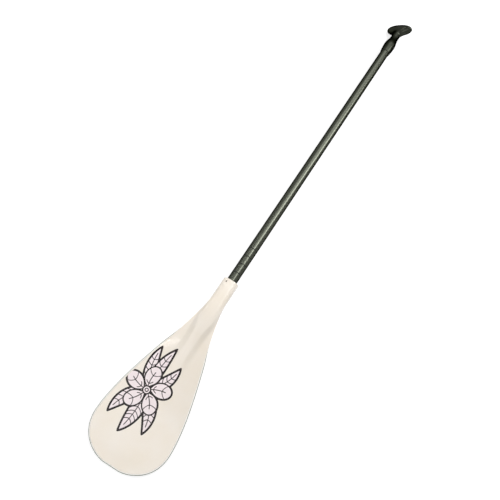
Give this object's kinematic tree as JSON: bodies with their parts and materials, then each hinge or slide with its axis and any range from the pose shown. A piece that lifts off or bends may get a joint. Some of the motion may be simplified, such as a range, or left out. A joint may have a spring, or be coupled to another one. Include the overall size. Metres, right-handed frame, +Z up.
{
  "type": "stand-up paddle",
  "caption": "Fixed-length stand-up paddle: teardrop blade with a raised spine, moulded with an oval neck, on a round dark shaft with a palm grip.",
  "frame": {"origin": "centre of the paddle's footprint, on the floor it lies on", "axes": "+Y runs from the blade to the grip, +X runs across the blade, and +Z is up, on the side of the face with the spine"},
  "size_m": [0.228, 1.7774, 0.0875],
  "materials": {
    "cream_gelcoat": "glossy cream gelcoat over fibre laminate",
    "edge_plastic": "moulded off-white plastic strip",
    "blade_foam": "rigid structural foam",
    "dark_composite": "satin near-black fibre composite",
    "liner_plastic": "filled resin, matte",
    "dark_rivet": "dark oxidised metal",
    "grip_plastic": "dark moulded plastic, satin",
    "closed_cell_foam": "closed-cell foam"
  },
  "bodies": {
    "root": {"blade_front_skin": "cream_gelcoat", "blade_back_skin": "cream_gelcoat", "blade_core_left": "blade_foam", "blade_core_right": "blade_foam", "blade_spar": "dark_composite", "blade_edge_rail": "edge_plastic", "neck_socket_liner": "liner_plastic", "neck_rivet": "dark_rivet", "shaft_tube": "dark_composite", "shaft_bottom_plug": "closed_cell_foam", "shaft_top_plug": "closed_cell_foam", "grip_front_shell": "grip_plastic", "grip_back_shell": "grip_plastic", "grip_core": "closed_cell_foam"}
  },
  "joints": []
}
